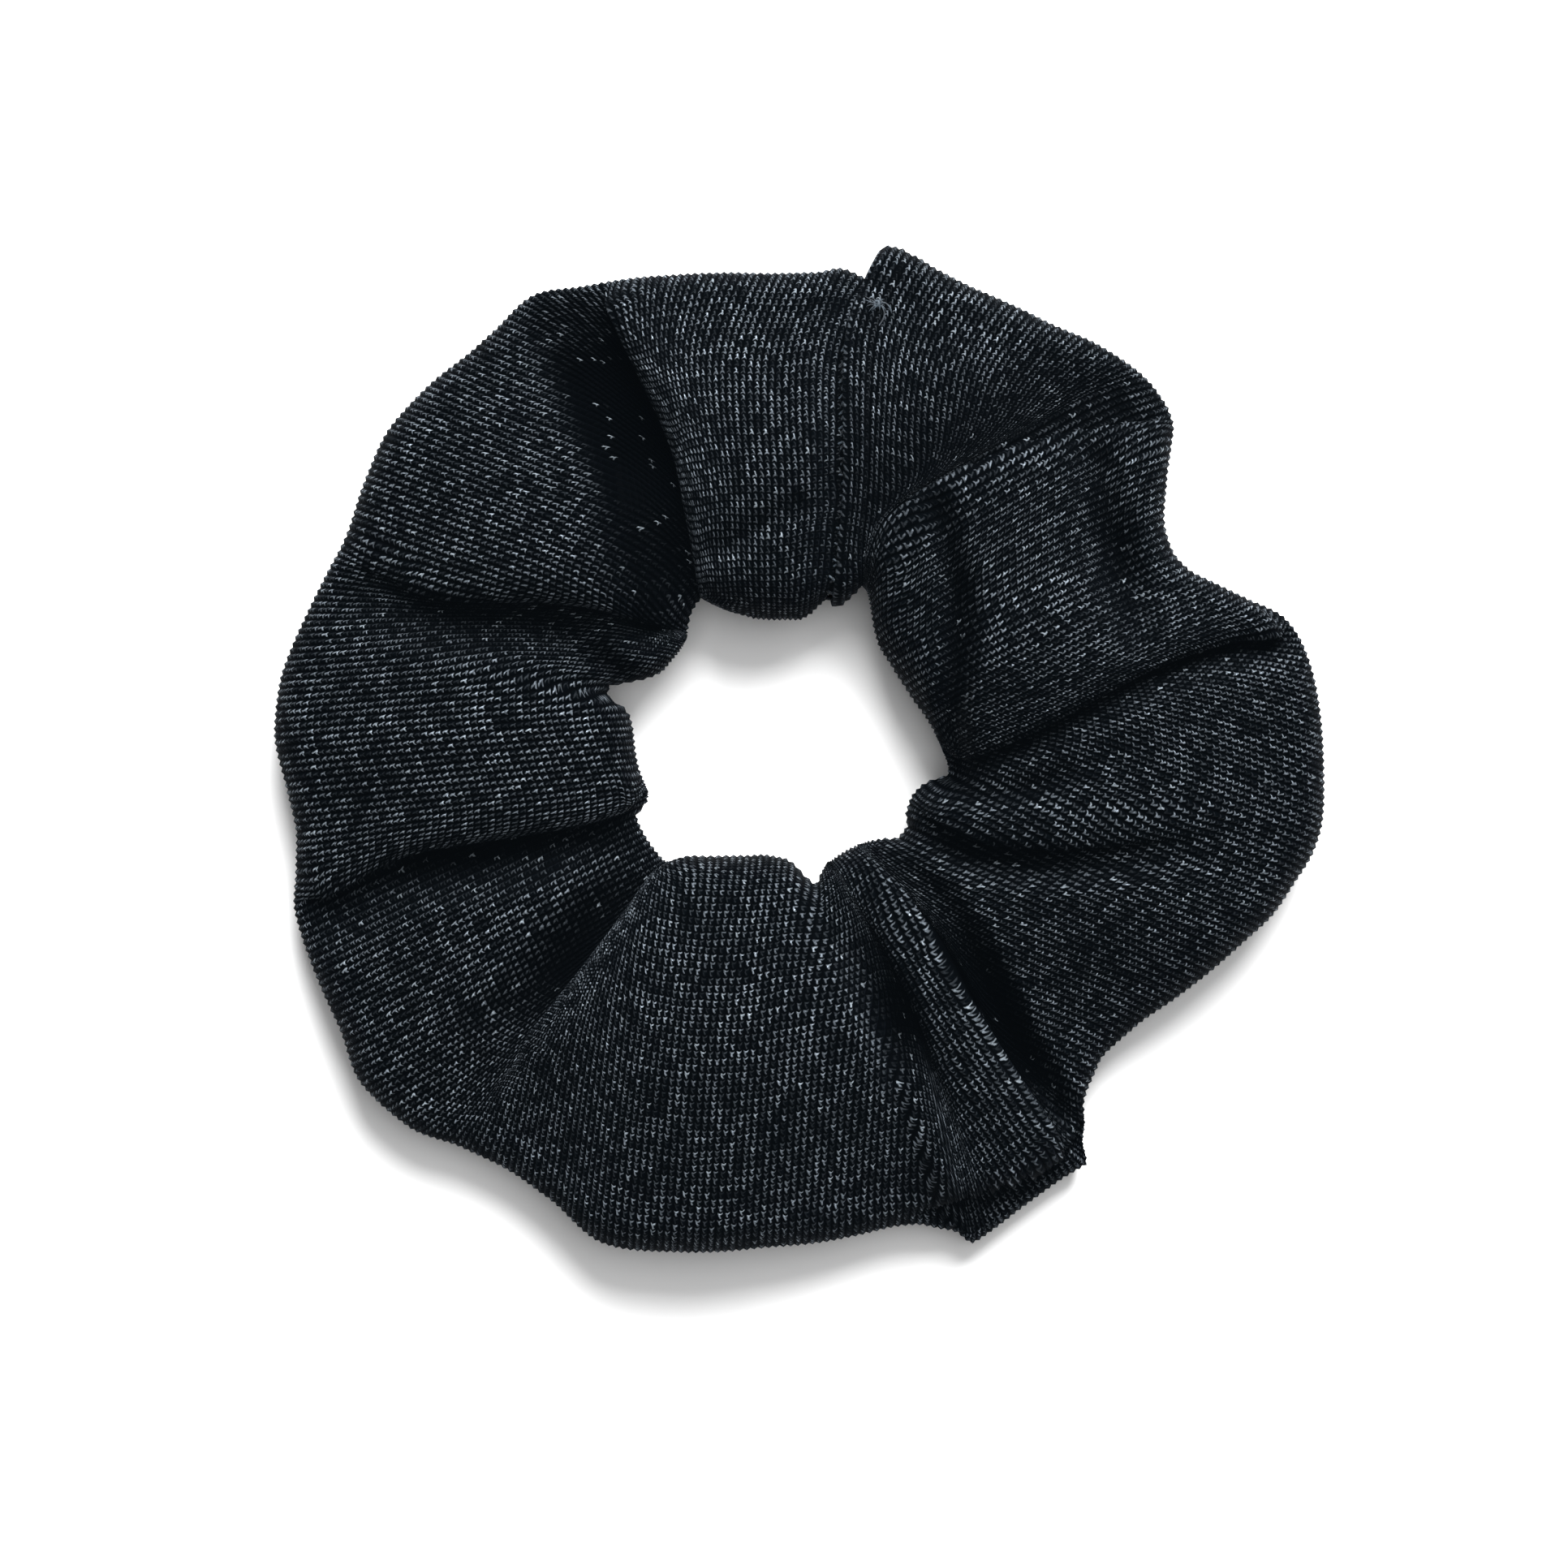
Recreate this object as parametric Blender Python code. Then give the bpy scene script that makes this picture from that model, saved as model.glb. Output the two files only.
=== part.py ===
"""Scrunchie: a tube of ribbed metallic knit, gathered on a loop of flat elastic, lying on a table.

Frame: metres, +Z up. The origin is under the middle of the outline, on the table. +X and +Y are the
long and the short way across the ring. Angles are in degrees, anticlockwise from +X.
"""

import math

import bmesh
import bpy
from mathutils import Vector

MM = 0.001

# Fabric cover
RING_CENTRE = Vector((-1.6 * MM, 1.2 * MM, 0.0))
WALL = 0.9 * MM
NOSE_RUN = 10.0 * MM
NOSE_UNDER_RUN = 5.0 * MM
RIM_UNDER_RUN = 4.0 * MM
NOSE_LEVEL = 0.45
RIM_LEVEL = 0.26
RIM_HEIGHT = 0.5
RING_STEP = 5.0

# Outer edge as (angle, radius in mm) about the origin
OUTER_EDGE = (
    (-11, 57.6), (-19, 55.1), (-28, 51.4), (-39, 48.0), (-45, 47.5), (-51, 50.0), (-55, 55.5),
    (-63, 56.0), (-70, 57.5), (-76, 53.7), (-88, 54.1), (-96, 55.2), (-104, 56.7), (-112, 58.1),
    (-122, 56.0), (-133, 58.4), (-142, 60.3), (-153, 58.3), (-162, 58.1), (-171, 55.8), (177, 57.5),
    (168, 56.6), (156, 54.9), (144, 56.8), (133, 56.7), (120, 57.9), (109, 54.9), (98, 52.9),
    (88, 52.7), (82, 54.6), (78, 56.3), (70, 54.7), (60, 54.4), (48, 56.0), (41, 54.8), (36, 50.4),
    (28, 46.6), (22, 49.2), (15, 55.5), (6, 57.3), (-3, 57.7),
)

# Inner edge as (angle, radius in mm) about the ring's centre
INNER_EDGE = (
    (-4, 17.6), (-13, 18.4), (-19, 15.9), (-28, 15.4), (-38, 16.7), (-50, 14.6), (-62, 14.0),
    (-76, 16.1), (-84, 14.0), (-96, 12.8), (-112, 13.8), (-127, 16.1), (-135, 18.6), (-150, 18.3),
    (-158, 16.0), (-170, 16.1), (177, 16.4), (169, 17.7), (165, 19.9), (158, 17.2), (148, 15.0),
    (136, 15.1), (123, 17.6), (112, 15.3), (100, 13.3), (88, 13.1), (77, 13.5), (70, 14.7),
    (63, 18.7), (52, 16.0), (40, 14.4), (28, 14.4), (15, 15.1), (5, 16.3),
)

# Height of the fabric's crown as (angle, mm) about the ring's centre: the puffs and the pleats between them
CROWN = (
    (76, 16.0), (52, 17.5), (42, 14.5), (28, 20.0), (8, 14.0), (-15, 19.0), (-38, 15.5), (-48, 14.0),
    (-58, 15.5), (-66, 14.0), (-98, 19.0), (-133, 14.0), (-147, 17.0), (-168, 14.0), (177, 18.0),
    (160, 14.0), (142, 19.0), (120, 13.5), (100, 18.0),
)

# Where the tube's ends meet: the tail end tucks inside the hemmed end
CLOSING_ANGLE = 76.0
TUCK_SWEEP = 10.0
TUCK_INSET = 1.3 * MM
TUCK_EASE = 10.0
CLOSING_LIFT = 1.1 * MM
LIFT_FLAT = 3.6
LIFT_EASE = 9.0

# Lengthwise seam under the ring: the slit and the two allowances turned up inside the tube
SEAM_RADIUS = 36.0 * MM
SEAM_GAP = 0.2 * MM
TUCKED_SEAM_GAP = 1.6 * MM
ALLOWANCE = 5.0 * MM

# Elastic: a flat braid on edge, its two ends lapped
ELASTIC_RADIUS = 24.0 * MM
ELASTIC_WIDTH = 5.0 * MM
ELASTIC_THICK = 1.2 * MM
ELASTIC_BASE = 4.0 * MM
ELASTIC_LAP_START = 250.0
ELASTIC_LAP_SWEEP = 30.0
ELASTIC_STEP = 5.0

# Threads
THREAD = 0.35 * MM
CLEARANCE = 0.3 * MM
OVERLOCK_PITCH = 5.0
NEEDLE_LINE = 1.9 * MM
LOOPER_LOW = 2.6 * MM
LOOPER_HIGH = 4.9 * MM
BAR_TACK_TURNS = 5
CLOSING_STITCHES = 28
CLOSING_STITCH_REACH = 0.8
KNOT_RADIUS = 1.0 * MM
KNOT_PLACE = 0.505

KNIT_COLOUR = (0.012, 0.015, 0.022)
ELASTIC_COLOUR = (0.015, 0.015, 0.017)
THREAD_COLOUR = (0.02, 0.024, 0.03)


def clear_scene():
    for obj in list(bpy.data.objects):
        bpy.data.objects.remove(obj, do_unlink=True)


def material(name, colour, roughness, metallic):
    mat = bpy.data.materials.new(name)
    mat.use_nodes = True
    shader = mat.node_tree.nodes["Principled BSDF"]
    shader.inputs["Base Color"].default_value = (*colour, 1.0)
    shader.inputs["Roughness"].default_value = roughness
    shader.inputs["Metallic"].default_value = metallic
    return mat


def smooth(x):
    """0 below 0, 1 above 1, with an S between them."""
    x = min(max(x, 0.0), 1.0)
    return x * x * (3 - 2 * x)


def around(table, angle):
    """A closed table of (angle, value), read at any angle along a curve through its points."""
    rows = sorted((a % 360, v) for a, v in table)
    angle %= 360
    after = next((i for i, row in enumerate(rows) if row[0] > angle), 0)
    values = [rows[(after + k) % len(rows)][1] for k in (-2, -1, 0, 1)]
    start = rows[after - 1][0]
    span = (rows[after][0] - start) % 360
    t = ((angle - start) % 360) / span
    slope_a = (values[2] - values[0]) / 2
    slope_b = (values[3] - values[1]) / 2
    lead = values[1] * (1 - smooth(t)) + values[2] * smooth(t)
    return lead + t * (1 - t) * ((1 - t) * slope_a - t * slope_b)


def about_ring(table):
    """A table of (angle, radius in mm) about the origin, restated about the ring's centre."""
    rows = []
    for angle, radius in table:
        point = Vector((radius * math.cos(math.radians(angle)), radius * math.sin(math.radians(angle))))
        point -= RING_CENTRE.xy / MM
        rows.append((math.degrees(math.atan2(point.y, point.x)), point.length))
    return rows


OUTER_ABOUT_RING = about_ring(OUTER_EDGE)


def place(angle, radius, height):
    """The point at this angle, radius and height about the ring's centre."""
    turn = math.radians(angle)
    return RING_CENTRE + Vector((radius * math.cos(turn), radius * math.sin(turn), height))


def apart(angle, other):
    """The smaller turn between two angles."""
    return abs((angle - other + 180) % 360 - 180)


def grown(loop, distance):
    """A closed loop of (radius, height), run nose to crown to rim, moved outwards by this distance."""
    points = [Vector(point) for point in loop]
    moved = []
    for before, point, after in zip(points[-1:] + points, points, points[1:] + points[:1]):
        normals = [Vector((a.y - b.y, b.x - a.x)).normalized() for a, b in ((before, point), (point, after))]
        lean = normals[0] + normals[1]
        moved.append(point + lean * (2 * distance / lean.length_squared))
    return [tuple(point) for point in moved]


class Section:
    """The tube's outside at one angle."""

    def __init__(self, angle):
        away = apart(angle, CLOSING_ANGLE)
        self.inner = around(INNER_EDGE, angle) * MM
        self.outer = around(OUTER_ABOUT_RING, angle) * MM
        self.base = CLOSING_LIFT * (1 - smooth((away - LIFT_FLAT) / LIFT_EASE))
        self.top = around(CROWN, angle) * MM
        self.nose = self.base + NOSE_LEVEL * (self.top - self.base)
        self.rim = self.base + RIM_LEVEL * (self.top - self.base)

    def upper(self):
        """From the nose over the crown to the rim, as (radius, height)."""
        points = []
        for k in range(5):
            turn = math.radians(22.5 * k)
            points.append((
                self.inner + NOSE_RUN * (1 - math.cos(turn)) ** 0.85,
                self.nose + (self.top - self.nose) * math.sin(turn) ** 0.85,
            ))
        crown_end = self.inner + NOSE_RUN
        shoulder = self.rim + RIM_HEIGHT * (self.top - self.rim)
        for k in range(1, 5):
            part = k / 5
            points.append((
                crown_end + (self.outer - RIM_UNDER_RUN - crown_end) * part,
                self.top + (shoulder - self.top) * part**1.6,
            ))
        for turn in (68, 45, 22, 0):
            points.append((
                self.outer - RIM_UNDER_RUN * (1 - math.cos(math.radians(turn))),
                self.rim + (shoulder - self.rim) * math.sin(math.radians(turn)),
            ))
        return points

    def under_rim(self):
        """From just below the rim to the flat underside."""
        turns = [math.radians(turn) for turn in (30, 60, 90)]
        return [
            (
                self.outer - RIM_UNDER_RUN * (1 - math.cos(turn)),
                self.rim - (self.rim - self.base) * math.sin(turn),
            )
            for turn in turns
        ]

    def under_nose(self):
        """From the flat underside up to just below the nose."""
        turns = [math.radians(turn) for turn in (90, 60, 30)]
        return [
            (
                self.inner + NOSE_UNDER_RUN * (1 - math.cos(turn)),
                self.nose - (self.nose - self.base) * math.sin(turn),
            )
            for turn in turns
        ]

    def loop(self, growth=0.0):
        """All the way round, starting below the nose."""
        return grown(self.under_nose() + self.upper() + self.under_rim(), growth)

    def cut_open(self, gap, growth):
        """Round the section from one allowance's edge to the other's, with the slit between them."""
        base = self.base - growth
        inside = [(SEAM_RADIUS - gap, base + ALLOWANCE), (SEAM_RADIUS - gap, base)]
        outside = [(SEAM_RADIUS + gap, base), (SEAM_RADIUS + gap, base + ALLOWANCE)]
        return inside + self.loop(growth) + outside


def mesh_object(name, mesh, mat):
    mesh.materials.append(mat)
    obj = bpy.data.objects.new(name, mesh)
    bpy.context.scene.collection.objects.link(obj)
    return obj


def round_off(obj, sharp_angle):
    obj.data.shade_smooth()
    obj.data.set_sharp_from_angle(angle=math.radians(sharp_angle))


def skin(rows, closed_rows=False):
    """A surface through rows of points, each row joined to the next."""
    bm = bmesh.new()
    made = [[bm.verts.new(point) for point in row] for row in rows]
    for row, following in zip(made, made[1:]):
        count = len(row) if closed_rows else len(row) - 1
        for k in range(count):
            after = (k + 1) % len(row)
            bm.faces.new((row[k], row[after], following[after], following[k]))
    return bm


def finished(bm, name):
    bmesh.ops.recalc_face_normals(bm, faces=bm.faces)
    mesh = bpy.data.meshes.new(name)
    bm.to_mesh(mesh)
    bm.free()
    return mesh


def fabric_cover(mat):
    """One strip of knit, sewn to a tube, turned and closed to a ring, its tail tucked inside its hem."""
    rows = []
    steps = round((360 + TUCK_SWEEP) / RING_STEP)
    for k in range(steps + 1):
        angle = CLOSING_ANGLE - TUCK_SWEEP + k * RING_STEP
        tucked = 1 - smooth((angle - CLOSING_ANGLE) / TUCK_EASE)
        gap = SEAM_GAP + (TUCKED_SEAM_GAP - SEAM_GAP) * tucked
        outline = Section(angle).cut_open(gap, -TUCK_INSET * tucked)
        rows.append([place(angle, *point) for point in outline])
    bm = skin(rows)
    mesh = bpy.data.meshes.new("fabric_cover")
    bm.to_mesh(mesh)
    bm.free()
    obj = mesh_object("fabric_cover", mesh, mat)
    wall = obj.modifiers.new("wall", "SOLIDIFY")
    wall.thickness = WALL
    wall.offset = -1.0
    wall.use_even_offset = True
    round_off(obj, 50)
    return obj


def lap_offset(angle):
    """How far out the elastic lies: its far end climbs over its near end."""
    climb = ELASTIC_LAP_START + 360 - 2 * ELASTIC_STEP
    return (ELASTIC_THICK + CLEARANCE) * smooth((angle - climb) / (2 * ELASTIC_STEP))


def elastic_band(mat):
    """A flat braid on edge, bent to a circle and lapped over its own start."""
    rows = []
    steps = round((360 + ELASTIC_LAP_SWEEP) / ELASTIC_STEP)
    for k in range(steps + 1):
        angle = ELASTIC_LAP_START + k * ELASTIC_STEP
        middle = ELASTIC_RADIUS + lap_offset(angle)
        inner = middle - ELASTIC_THICK / 2
        outer = middle + ELASTIC_THICK / 2
        low = ELASTIC_BASE
        high = ELASTIC_BASE + ELASTIC_WIDTH
        edge = ELASTIC_THICK / 4
        outline = (
            (inner, low + edge), (inner, high - edge), (inner + edge, high), (outer - edge, high),
            (outer, high - edge), (outer, low + edge), (outer - edge, low), (inner + edge, low),
        )
        rows.append([place(angle, *point) for point in outline])
    bm = skin(rows, closed_rows=True)
    bm.verts.ensure_lookup_table()
    side = len(rows[0])
    bm.faces.new(bm.verts[:side])
    bm.faces.new(bm.verts[-side:])
    obj = mesh_object("elastic_band", finished(bm, "elastic_band"), mat)
    round_off(obj, 50)
    return obj


def thread_curve(name, points, mat, roundness=1):
    """A thread with closed ends through these points."""
    curve = bpy.data.curves.new(name, "CURVE")
    curve.dimensions = "3D"
    curve.bevel_depth = THREAD / 2
    curve.bevel_resolution = roundness
    curve.use_fill_caps = True
    spline = curve.splines.new("POLY")
    spline.points.add(len(points) - 1)
    for spot, point in zip(spline.points, points):
        spot.co = (*point, 1.0)
    curve.materials.append(mat)
    obj = bpy.data.objects.new(name, curve)
    bpy.context.scene.collection.objects.link(obj)
    return obj


def tube_seam_threads(mat):
    """A three-thread overlock along the two allowances: one thread by the needle, two round the edge."""
    face = SEAM_GAP + WALL + CLEARANCE + THREAD / 2
    first = CLOSING_ANGLE + TUCK_EASE + 4.0
    last = CLOSING_ANGLE + 360 - TUCK_SWEEP - 4.0
    count = int((last - first) / OVERLOCK_PITCH)
    angles = [first + k * OVERLOCK_PITCH for k in range(count + 1)]
    needle = [place(angle, SEAM_RADIUS + face, NEEDLE_LINE) for angle in angles]
    thread_curve("tube_seam_needle_thread", needle, mat, roundness=0)
    for name, radius in (
        ("tube_seam_upper_looper_thread", SEAM_RADIUS + face),
        ("tube_seam_lower_looper_thread", SEAM_RADIUS - face),
    ):
        points = []
        for angle in angles:
            points.append(place(angle, radius, LOOPER_LOW))
            points.append(place(angle + OVERLOCK_PITCH / 2, radius, LOOPER_HIGH))
        thread_curve(name, points, mat, roundness=0)


def elastic_join_threads(mat):
    """A zigzag up and down the lapped ends: the needle's thread outside, the bobbin's inside."""
    reach = ELASTIC_THICK / 2 + CLEARANCE + THREAD / 2
    outer = ELASTIC_RADIUS + ELASTIC_THICK + CLEARANCE + reach
    inner = ELASTIC_RADIUS - reach
    for name, radius in (
        ("elastic_join_needle_thread", outer),
        ("elastic_join_bobbin_thread", inner),
    ):
        points = []
        for k in range(2 * BAR_TACK_TURNS + 1):
            angle = ELASTIC_LAP_START + 6.0 + k * (ELASTIC_LAP_SWEEP - 12.0) / (2 * BAR_TACK_TURNS)
            high = k % 2
            height = ELASTIC_BASE + ELASTIC_WIDTH * (0.75 if high else 0.25)
            points.append(place(angle, radius, height))
        thread_curve(name, points, mat)


def along(loop, part):
    """The point this part of the way round a closed loop of (radius, height)."""
    ends = [Vector(point) for point in loop] + [Vector(loop[0])]
    lengths = [(b - a).length for a, b in zip(ends, ends[1:])]
    left = part % 1 * sum(lengths)
    for a, b, length in zip(ends, ends[1:], lengths):
        if left <= length:
            return a.lerp(b, left / length)
        left -= length
    return ends[-1]


def closing_thread(mat):
    """A hand stitch all round the tube, over and back across the hem's edge, its ends tied in a knot."""
    growth = CLEARANCE + THREAD / 2
    points = []
    for k in range(1, 2 * CLOSING_STITCHES):
        side = CLOSING_STITCH_REACH if k % 2 else -CLOSING_STITCH_REACH
        angle = CLOSING_ANGLE + side
        spot = along(Section(angle).loop(growth), KNOT_PLACE + k / (2 * CLOSING_STITCHES))
        points.append(place(angle, *spot))
    knot_spot = along(Section(CLOSING_ANGLE).loop(CLEARANCE + KNOT_RADIUS), KNOT_PLACE)
    knot_centre = place(CLOSING_ANGLE, *knot_spot)
    first_end = knot_centre.lerp(points[0], 0.2)
    last_end = knot_centre.lerp(points[-1], 0.2)
    path = thread_curve("closing_thread_path", [first_end, *points, last_end], mat)
    graph = bpy.context.evaluated_depsgraph_get()
    mesh = bpy.data.meshes.new_from_object(path.evaluated_get(graph))
    bpy.data.objects.remove(path, do_unlink=True)
    obj = mesh_object("closing_thread", mesh, mat)

    bm = bmesh.new()
    bmesh.ops.create_icosphere(bm, subdivisions=2, radius=KNOT_RADIUS)
    bmesh.ops.translate(bm, verts=bm.verts, vec=knot_centre)
    knot = mesh_object("knot_tool", finished(bm, "knot_tool"), mat)
    knot.hide_render = True
    knot.display_type = "WIRE"
    tie = obj.modifiers.new("knot", "BOOLEAN")
    tie.operation = "UNION"
    tie.object = knot


def main():
    clear_scene()
    knit = material("ribbed_metallic_knit", KNIT_COLOUR, 0.55, 0.35)
    braid = material("braided_elastic", ELASTIC_COLOUR, 0.8, 0.0)
    sewing = material("sewing_thread", THREAD_COLOUR, 0.65, 0.0)
    fabric_cover(knit)
    elastic_band(braid)
    tube_seam_threads(sewing)
    elastic_join_threads(sewing)
    closing_thread(sewing)


main()
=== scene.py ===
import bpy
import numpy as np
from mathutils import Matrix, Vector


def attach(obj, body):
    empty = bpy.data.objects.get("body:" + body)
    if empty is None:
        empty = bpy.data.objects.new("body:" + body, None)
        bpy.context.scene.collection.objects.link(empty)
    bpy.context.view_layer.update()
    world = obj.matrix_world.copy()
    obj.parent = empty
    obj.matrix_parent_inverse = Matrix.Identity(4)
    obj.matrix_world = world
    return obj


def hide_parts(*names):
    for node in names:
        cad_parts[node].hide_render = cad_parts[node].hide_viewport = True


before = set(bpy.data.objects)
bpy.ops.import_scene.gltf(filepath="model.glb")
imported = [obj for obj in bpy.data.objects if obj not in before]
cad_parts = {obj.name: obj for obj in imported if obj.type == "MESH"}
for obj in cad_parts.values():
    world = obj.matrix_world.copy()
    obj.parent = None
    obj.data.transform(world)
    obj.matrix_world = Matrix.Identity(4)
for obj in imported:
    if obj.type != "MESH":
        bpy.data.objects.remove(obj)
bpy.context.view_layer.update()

# The looks of a scrunchie of dark ribbed metallic knit. Lengths are millimetres in the tables and in the
# cloth's arrays, and metres on Blender's objects. Angles are degrees anticlockwise from +X, about the
# ring's centre unless a table says otherwise.

MM = 0.001

RING_CENTRE = np.array((-1.6, 1.2))

# Outer edge of the ring, (angle, radius) about the origin, anticlockwise from the closing seam to its hem
OUTER_EDGE = (
    (80.3, 53.7), (85, 53.2), (88, 52.5), (93, 52.4), (98, 52.9), (104, 53.8), (109, 54.9), (115, 56.3),
    (120.4, 57.9), (126, 56.9), (130, 56.6), (135, 56.9), (141, 57.0), (147.7, 56.0), (155, 54.9),
    (159.5, 55.3), (164, 55.9), (168, 56.6), (172.6, 57.3), (178, 57.4), (184, 56.3), (188.5, 55.8),
    (193, 56.6), (198, 58.1), (204, 58.4), (211, 58.8), (217.6, 60.3), (224, 59.5), (230, 57.1),
    (236, 56.0), (241, 56.3), (248.5, 58.1), (256.5, 56.5), (260.5, 55.7), (267, 54.5), (272, 54.1),
    (281, 53.4), (284, 53.7), (286.5, 54.8), (288.3, 55.9), (289.6, 57.6), (292, 57.1), (297, 56.0),
    (302, 55.5), (304.8, 55.6), (306, 53.3), (307.6, 51.7), (309, 49.7), (312, 48.4), (315.4, 47.5),
    (321, 48.0), (327, 49.7), (332, 51.4), (337, 53.3), (341, 55.1), (345, 56.3), (349, 57.6), (352, 58.0),
    (358, 57.7), (366.7, 57.3), (371.6, 56.7), (375, 55.5), (379, 51.7), (382, 49.2), (385, 47.2),
    (388, 46.6), (391, 47.1), (396.4, 50.4), (398.9, 52.7), (401.2, 54.8), (403.5, 55.6), (406.7, 56.0),
    (413, 55.5), (420, 54.4), (428.5, 54.3), (433.7, 55.0), (436.9, 55.9), (439.1, 56.1), (442.0, 55.8),
)

# Edge of the hole, (angle, radius) from the seam round to its hem
INNER_EDGE = (
    (76, 13.6), (82.5, 13.2), (92, 13.1), (102, 13.5), (110, 14.8), (114, 15.9), (118, 16.9), (120, 17.8),
    (125.4, 17.2), (130.7, 16.0), (135, 15.2), (141, 14.9), (149.6, 15.1), (154.7, 16.0), (161, 18.7),
    (163, 19.9), (165.8, 19.8), (169, 17.7), (172, 16.9), (178, 16.4), (192, 16.1), (201, 15.9),
    (204.6, 16.4), (208, 18.2), (217.5, 18.5), (225.4, 18.6), (233, 16.1), (244, 14.2), (252, 13.4),
    (262, 12.8), (270, 13.0), (275, 13.7), (279, 15.1), (283, 16.2), (286, 15.2), (291, 14.3), (300, 14.0),
    (308, 14.4), (315, 15.4), (320, 16.6), (324.5, 16.6), (329, 15.7), (335.5, 15.4), (341, 15.9),
    (345, 17.0), (348, 18.5), (356, 17.6), (362, 16.7), (368, 15.9), (379, 14.7), (391, 14.3), (402, 14.5),
    (409.7, 15.5), (415, 16.9), (422.2, 18.9), (426.5, 16.5), (430, 14.7), (436, 13.6),
)

# Height of the crown beside the hole, and of the shoulder near the outer edge, (angle, height)
CROWN = (
    (76, 16.5), (98, 17.0), (116, 16.5), (142, 18.5), (160, 16.5), (178, 17.0), (200, 15.5), (212, 16.0),
    (226, 16.0), (258, 17.5), (290, 16.0), (301, 16.5), (310, 16.0), (335, 17.5), (352, 16.5), (380, 18.5),
    (405, 16.5), (420, 16.5), (436, 16.5),
)
SHOULDER = (
    (76, 10.0), (98, 12.5), (116, 9.5), (142, 13.5), (160, 10.5), (178, 12.5), (200, 9.5), (215, 11.5),
    (232, 10.0), (262, 14.2), (283, 10.5), (301, 10.0), (312, 9.5), (340, 14.0), (372, 12.5), (385, 12.5),
    (400, 10.5), (420, 12.0), (436, 10.0),
)

# The closing seam's hem from the hole to the outer edge, (x, y)
SEAM_LINE = ((4.6, 17.9), (4.9, 22.0), (5.3, 28.1), (5.1, 38.6), (5.6, 44.1), (7.6, 49.7), (9.7, 54.2))


class Fold:
    """A valley of the gathered cloth, its line given from the hole outwards, in plan.

    depth is the valley's depth, (share of the line, mm). over is the side whose cloth laps over the valley,
    1 on the left of the line's way, -1 on the right, 0 for neither. lip is how far back from the valley
    that cloth starts to turn down, and lap how far it leans over the valley. flank is how far away the
    other side is up again, and bed the share of that which is the valley's floor. A parting divides the
    cloth into panels, whose ribs gather into it, or into the line given as ribs. A step doesn't come up
    again on the far side.
    """

    def __init__(
        self, line, depth, over, lip, flank, lap=0.0, bed=0.0, parting=True, ribs=None, step=False,
    ):
        self.line = np.array(line, float)
        self.depth = np.array(depth, float)
        self.over = over
        self.lip = lip
        self.flank = flank
        self.lap = lap
        self.bed = bed
        self.parting = parting
        self.ribs = ribs
        self.step = step

    def valley(self, before, beyond, spacing=0.5):
        """The valley's bottom, which lies back under the lip whose edge is the fold's line."""
        line = rounded_line(self.line, before, beyond, spacing)
        way = np.gradient(line, axis=0)
        way /= np.linalg.norm(way, axis=1, keepdims=True)
        left = np.stack((-way[:, 1], way[:, 0]), -1)
        return line + left * self.over * self.lap * LAP_OVER_VALLEY


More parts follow.
